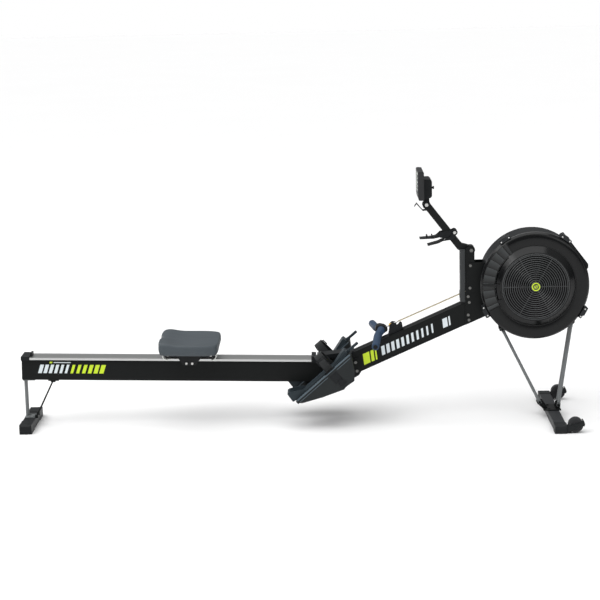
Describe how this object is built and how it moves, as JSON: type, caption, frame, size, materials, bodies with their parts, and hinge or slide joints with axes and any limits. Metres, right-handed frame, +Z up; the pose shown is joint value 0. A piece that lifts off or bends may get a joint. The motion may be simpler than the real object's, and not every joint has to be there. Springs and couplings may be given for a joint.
{
  "type": "rowing machine",
  "caption": "Indoor rowing machine with a fan flywheel, chain handle, sliding seat on a monorail, strapped footboards and a monitor on a folding arm.",
  "frame": {"origin": "on the floor, at the middle of the whole machine's footprint box", "axes": "+X runs along the machine from the rear foot to the fan, +Z is up, +Y completes the right-handed frame"},
  "size_m": [2.444, 0.61, 1.088],
  "materials": {
    "black_metal": "satin powder coat",
    "grey_leg": "satin",
    "stainless": "brushed",
    "bright_steel": "polished",
    "black_plastic": "fine grain",
    "charcoal_plastic": "fine grain",
    "slate_pad": "soft moulded foam",
    "blue_grey_rubber": "moulded",
    "webbing": "woven",
    "tyre_rubber": "moulded"
  },
  "bodies": {
    "frame": {"main_beam": "black_metal", "rail_socket": "black_metal", "frame_bolts": "bright_steel", "joint_cover": "black_plastic", "mast_nose": "black_plastic", "mast_side_plates": "black_metal", "drum_saddle_bracket": "black_metal", "drum_shell": "black_plastic", "drum_lid": "black_plastic", "intake_grille": "black_plastic", "rim_clamps": "black_plastic", "flywheel_axle": "black_metal", "return_chain": "bright_steel", "drive_chain": "bright_steel", "handle_rest": "black_plastic", "footboard_near": "charcoal_plastic", "footboard_far": "charcoal_plastic", "foot_strap_near": "webbing", "foot_strap_far": "webbing", "front_leg_pair_left": "grey_leg", "front_leg_pair_right": "grey_leg", "front_foot": "black_plastic", "front_leg_brackets": "black_metal"},
    "rail": {"rail_beam": "black_metal", "rail_track": "stainless", "rail_end_cap": "black_plastic", "seat_stops": "black_plastic", "rear_leg": "grey_leg", "rear_brace": "black_metal", "rear_foot": "black_plastic"},
    "latch": {"frame_latch_lever": "black_metal"},
    "seat": {"seat_pad": "slate_pad", "seat_carriage": "black_plastic"},
    "rear_top_rollers": {"seat_rear_top_rollers": "tyre_rubber"},
    "front_top_rollers": {"seat_front_top_rollers": "tyre_rubber"},
    "rear_lower_rollers": {"seat_rear_lower_rollers": "tyre_rubber"},
    "front_lower_rollers": {"seat_front_lower_rollers": "tyre_rubber"},
    "handle": {"handle_core": "black_plastic", "handle_grip_near": "blue_grey_rubber", "handle_grip_far": "blue_grey_rubber"},
    "sprocket": {"chain_sprocket": "bright_steel"},
    "upper_idler": {"upper_idler": "black_plastic"},
    "lower_idler": {"lower_idler": "black_plastic"},
    "takeup": {"takeup_block": "bright_steel"},
    "flywheel": {"fan_wheel": "stainless"},
    "damper": {"damper": "black_plastic"},
    "heel_near": {"heel_slide_near": "charcoal_plastic"},
    "heel_far": {"heel_slide_far": "charcoal_plastic"},
    "caster_near": {"caster_wheel_near": "tyre_rubber"},
    "caster_far": {"caster_wheel_far": "tyre_rubber"},
    "arm": {"monitor_arm": "black_metal"},
    "holder": {"device_holder": "black_plastic"},
    "holder_jaw": {"holder_spring_jaw": "black_plastic"},
    "monitor": {"monitor_front_case": "black_plastic", "monitor_rear_case": "black_plastic"},
    "button_1": {"monitor_button_1": "charcoal_plastic"},
    "button_2": {"monitor_button_2": "charcoal_plastic"},
    "button_3": {"monitor_button_3": "charcoal_plastic"},
    "button_4": {"monitor_button_4": "charcoal_plastic"},
    "button_5": {"monitor_button_5": "charcoal_plastic"}
  },
  "joints": [
    {"name": "rail_release", "type": "slide", "parent": "frame", "child": "rail", "axis": [0.9997, 0, -0.026], "range_m": [-0.15, 0]},
    {"name": "latch_turn", "type": "hinge", "parent": "frame", "child": "latch", "pos_m": [0.06, 0, 0.158], "axis": [0, 1, 0], "range_deg": [-70, 0]},
    {"name": "seat_slide", "type": "slide", "parent": "rail", "child": "seat", "axis": [0.9997, 0, -0.026], "range_m": [-0.55, 0.37]},
    {"name": "rear_top_rollers_spin", "type": "hinge", "parent": "seat", "child": "rear_top_rollers", "pos_m": [-0.58271, 0, 0.31473], "axis": [0, 1, 0], "range_deg": [-1750, 1750]},
    {"name": "front_top_rollers_spin", "type": "hinge", "parent": "seat", "child": "front_top_rollers", "pos_m": [-0.39677, 0, 0.3099], "axis": [0, 1, 0], "range_deg": [-1750, 1750]},
    {"name": "rear_lower_rollers_spin", "type": "hinge", "parent": "seat", "child": "rear_lower_rollers", "pos_m": [-0.50323, 0, 0.27455], "axis": [0, 1, 0], "range_deg": [-3150, 3150]},
    {"name": "front_lower_rollers_spin", "type": "hinge", "parent": "seat", "child": "front_lower_rollers", "pos_m": [-0.47824, 0, 0.2739], "axis": [0, 1, 0], "range_deg": [-3150, 3150]},
    {"name": "handle_pull", "type": "slide", "parent": "frame", "child": "handle", "axis": [-0.9806, 0, 0.1961], "range_m": [0, 1.15], "stiffness_N_per_m": 20, "springref_m": -0.8, "deforming": ["drive_chain", "return_chain"]},
    {"name": "sprocket_spin", "type": "hinge", "parent": "frame", "child": "sprocket", "pos_m": [0.9915, 0, 0.5946], "axis": [0, 1, 0], "range_deg": [-2350, 0]},
    {"name": "upper_idler_spin", "type": "hinge", "parent": "frame", "child": "upper_idler", "pos_m": [0.712, 0, 0.5423], "axis": [0, 1, 0], "range_deg": [-3900, 0]},
    {"name": "lower_idler_spin", "type": "hinge", "parent": "frame", "child": "lower_idler", "pos_m": [0.712, 0, 0.462], "axis": [0, 1, 0], "range_deg": [0, 3900]},
    {"name": "takeup_travel", "type": "slide", "parent": "frame", "child": "takeup", "axis": [0.9164, 0, 0.4003], "range_m": [0, 0.44]},
    {"name": "flywheel_spin", "type": "hinge", "parent": "frame", "child": "flywheel", "pos_m": [0.9915, 0, 0.5946], "axis": [0, 1, 0], "continuous": true},
    {"name": "damper_turn", "type": "hinge", "parent": "frame", "child": "damper", "pos_m": [0.9915, 0, 0.5946], "axis": [0, 1, 0], "range_deg": [-18, 42]},
    {"name": "heel_near_slide", "type": "slide", "parent": "frame", "child": "heel_near", "axis": [0.7559, 0, 0.6547], "range_m": [-0.06, 0.02]},
    {"name": "heel_far_slide", "type": "slide", "parent": "frame", "child": "heel_far", "axis": [0.7559, 0, 0.6547], "range_m": [-0.06, 0.02]},
    {"name": "caster_near_spin", "type": "hinge", "parent": "frame", "child": "caster_near", "pos_m": [1.1404, -0.283, 0.035], "axis": [0, 1, 0], "continuous": true},
    {"name": "caster_far_spin", "type": "hinge", "parent": "frame", "child": "caster_far", "pos_m": [1.1404, 0.283, 0.035], "axis": [0, 1, 0], "continuous": true},
    {"name": "arm_fold", "type": "hinge", "parent": "frame", "child": "arm", "pos_m": [0.7265, 0, 0.742], "axis": [0, 1, 0], "range_deg": [-48, 10]},
    {"name": "holder_turn", "type": "hinge", "parent": "arm", "child": "holder", "pos_m": [0.6565, 0, 0.8186], "axis": [0, 1, 0], "range_deg": [-15, 12]},
    {"name": "jaw_open", "type": "hinge", "parent": "holder", "child": "holder_jaw", "pos_m": [0.6565, 0, 0.8186], "axis": [0, 1, 0], "range_deg": [-16, 0], "stiffness_Nm_per_rad": 0.6, "springref_deg": 28.65},
    {"name": "monitor_tilt", "type": "hinge", "parent": "arm", "child": "monitor", "pos_m": [0.5388, 0, 0.938], "axis": [0, 1, 0], "range_deg": [-12, 25]},
    {"name": "button_1_press", "type": "slide", "parent": "monitor", "child": "button_1", "axis": [1, 0, 0], "range_m": [0, 0.001], "stiffness_N_per_m": 400, "springref_m": -0.001},
    {"name": "button_2_press", "type": "slide", "parent": "monitor", "child": "button_2", "axis": [1, 0, 0], "range_m": [0, 0.001], "stiffness_N_per_m": 400, "springref_m": -0.001},
    {"name": "button_3_press", "type": "slide", "parent": "monitor", "child": "button_3", "axis": [1, 0, 0], "range_m": [0, 0.001], "stiffness_N_per_m": 400, "springref_m": -0.001},
    {"name": "button_4_press", "type": "slide", "parent": "monitor", "child": "button_4", "axis": [1, 0, 0], "range_m": [0, 0.001], "stiffness_N_per_m": 400, "springref_m": -0.001},
    {"name": "button_5_press", "type": "slide", "parent": "monitor", "child": "button_5", "axis": [1, 0, 0], "range_m": [0, 0.001], "stiffness_N_per_m": 400, "springref_m": -0.001}
  ],
  "couplings": [
    {"joint": "rear_top_rollers_spin", "follows": "seat_slide", "rad_per_m": 52.63},
    {"joint": "front_top_rollers_spin", "follows": "seat_slide", "rad_per_m": 52.63},
    {"joint": "rear_lower_rollers_spin", "follows": "seat_slide", "rad_per_m": -95.24},
    {"joint": "front_lower_rollers_spin", "follows": "seat_slide", "rad_per_m": -95.24},
    {"joint": "sprocket_spin", "follows": "handle_pull", "rad_per_m": -35.34},
    {"joint": "upper_idler_spin", "follows": "handle_pull", "rad_per_m": -58.82},
    {"joint": "lower_idler_spin", "follows": "handle_pull", "rad_per_m": 58.82},
    {"joint": "takeup_travel", "follows": "handle_pull", "ratio": 0.38}
  ]
}
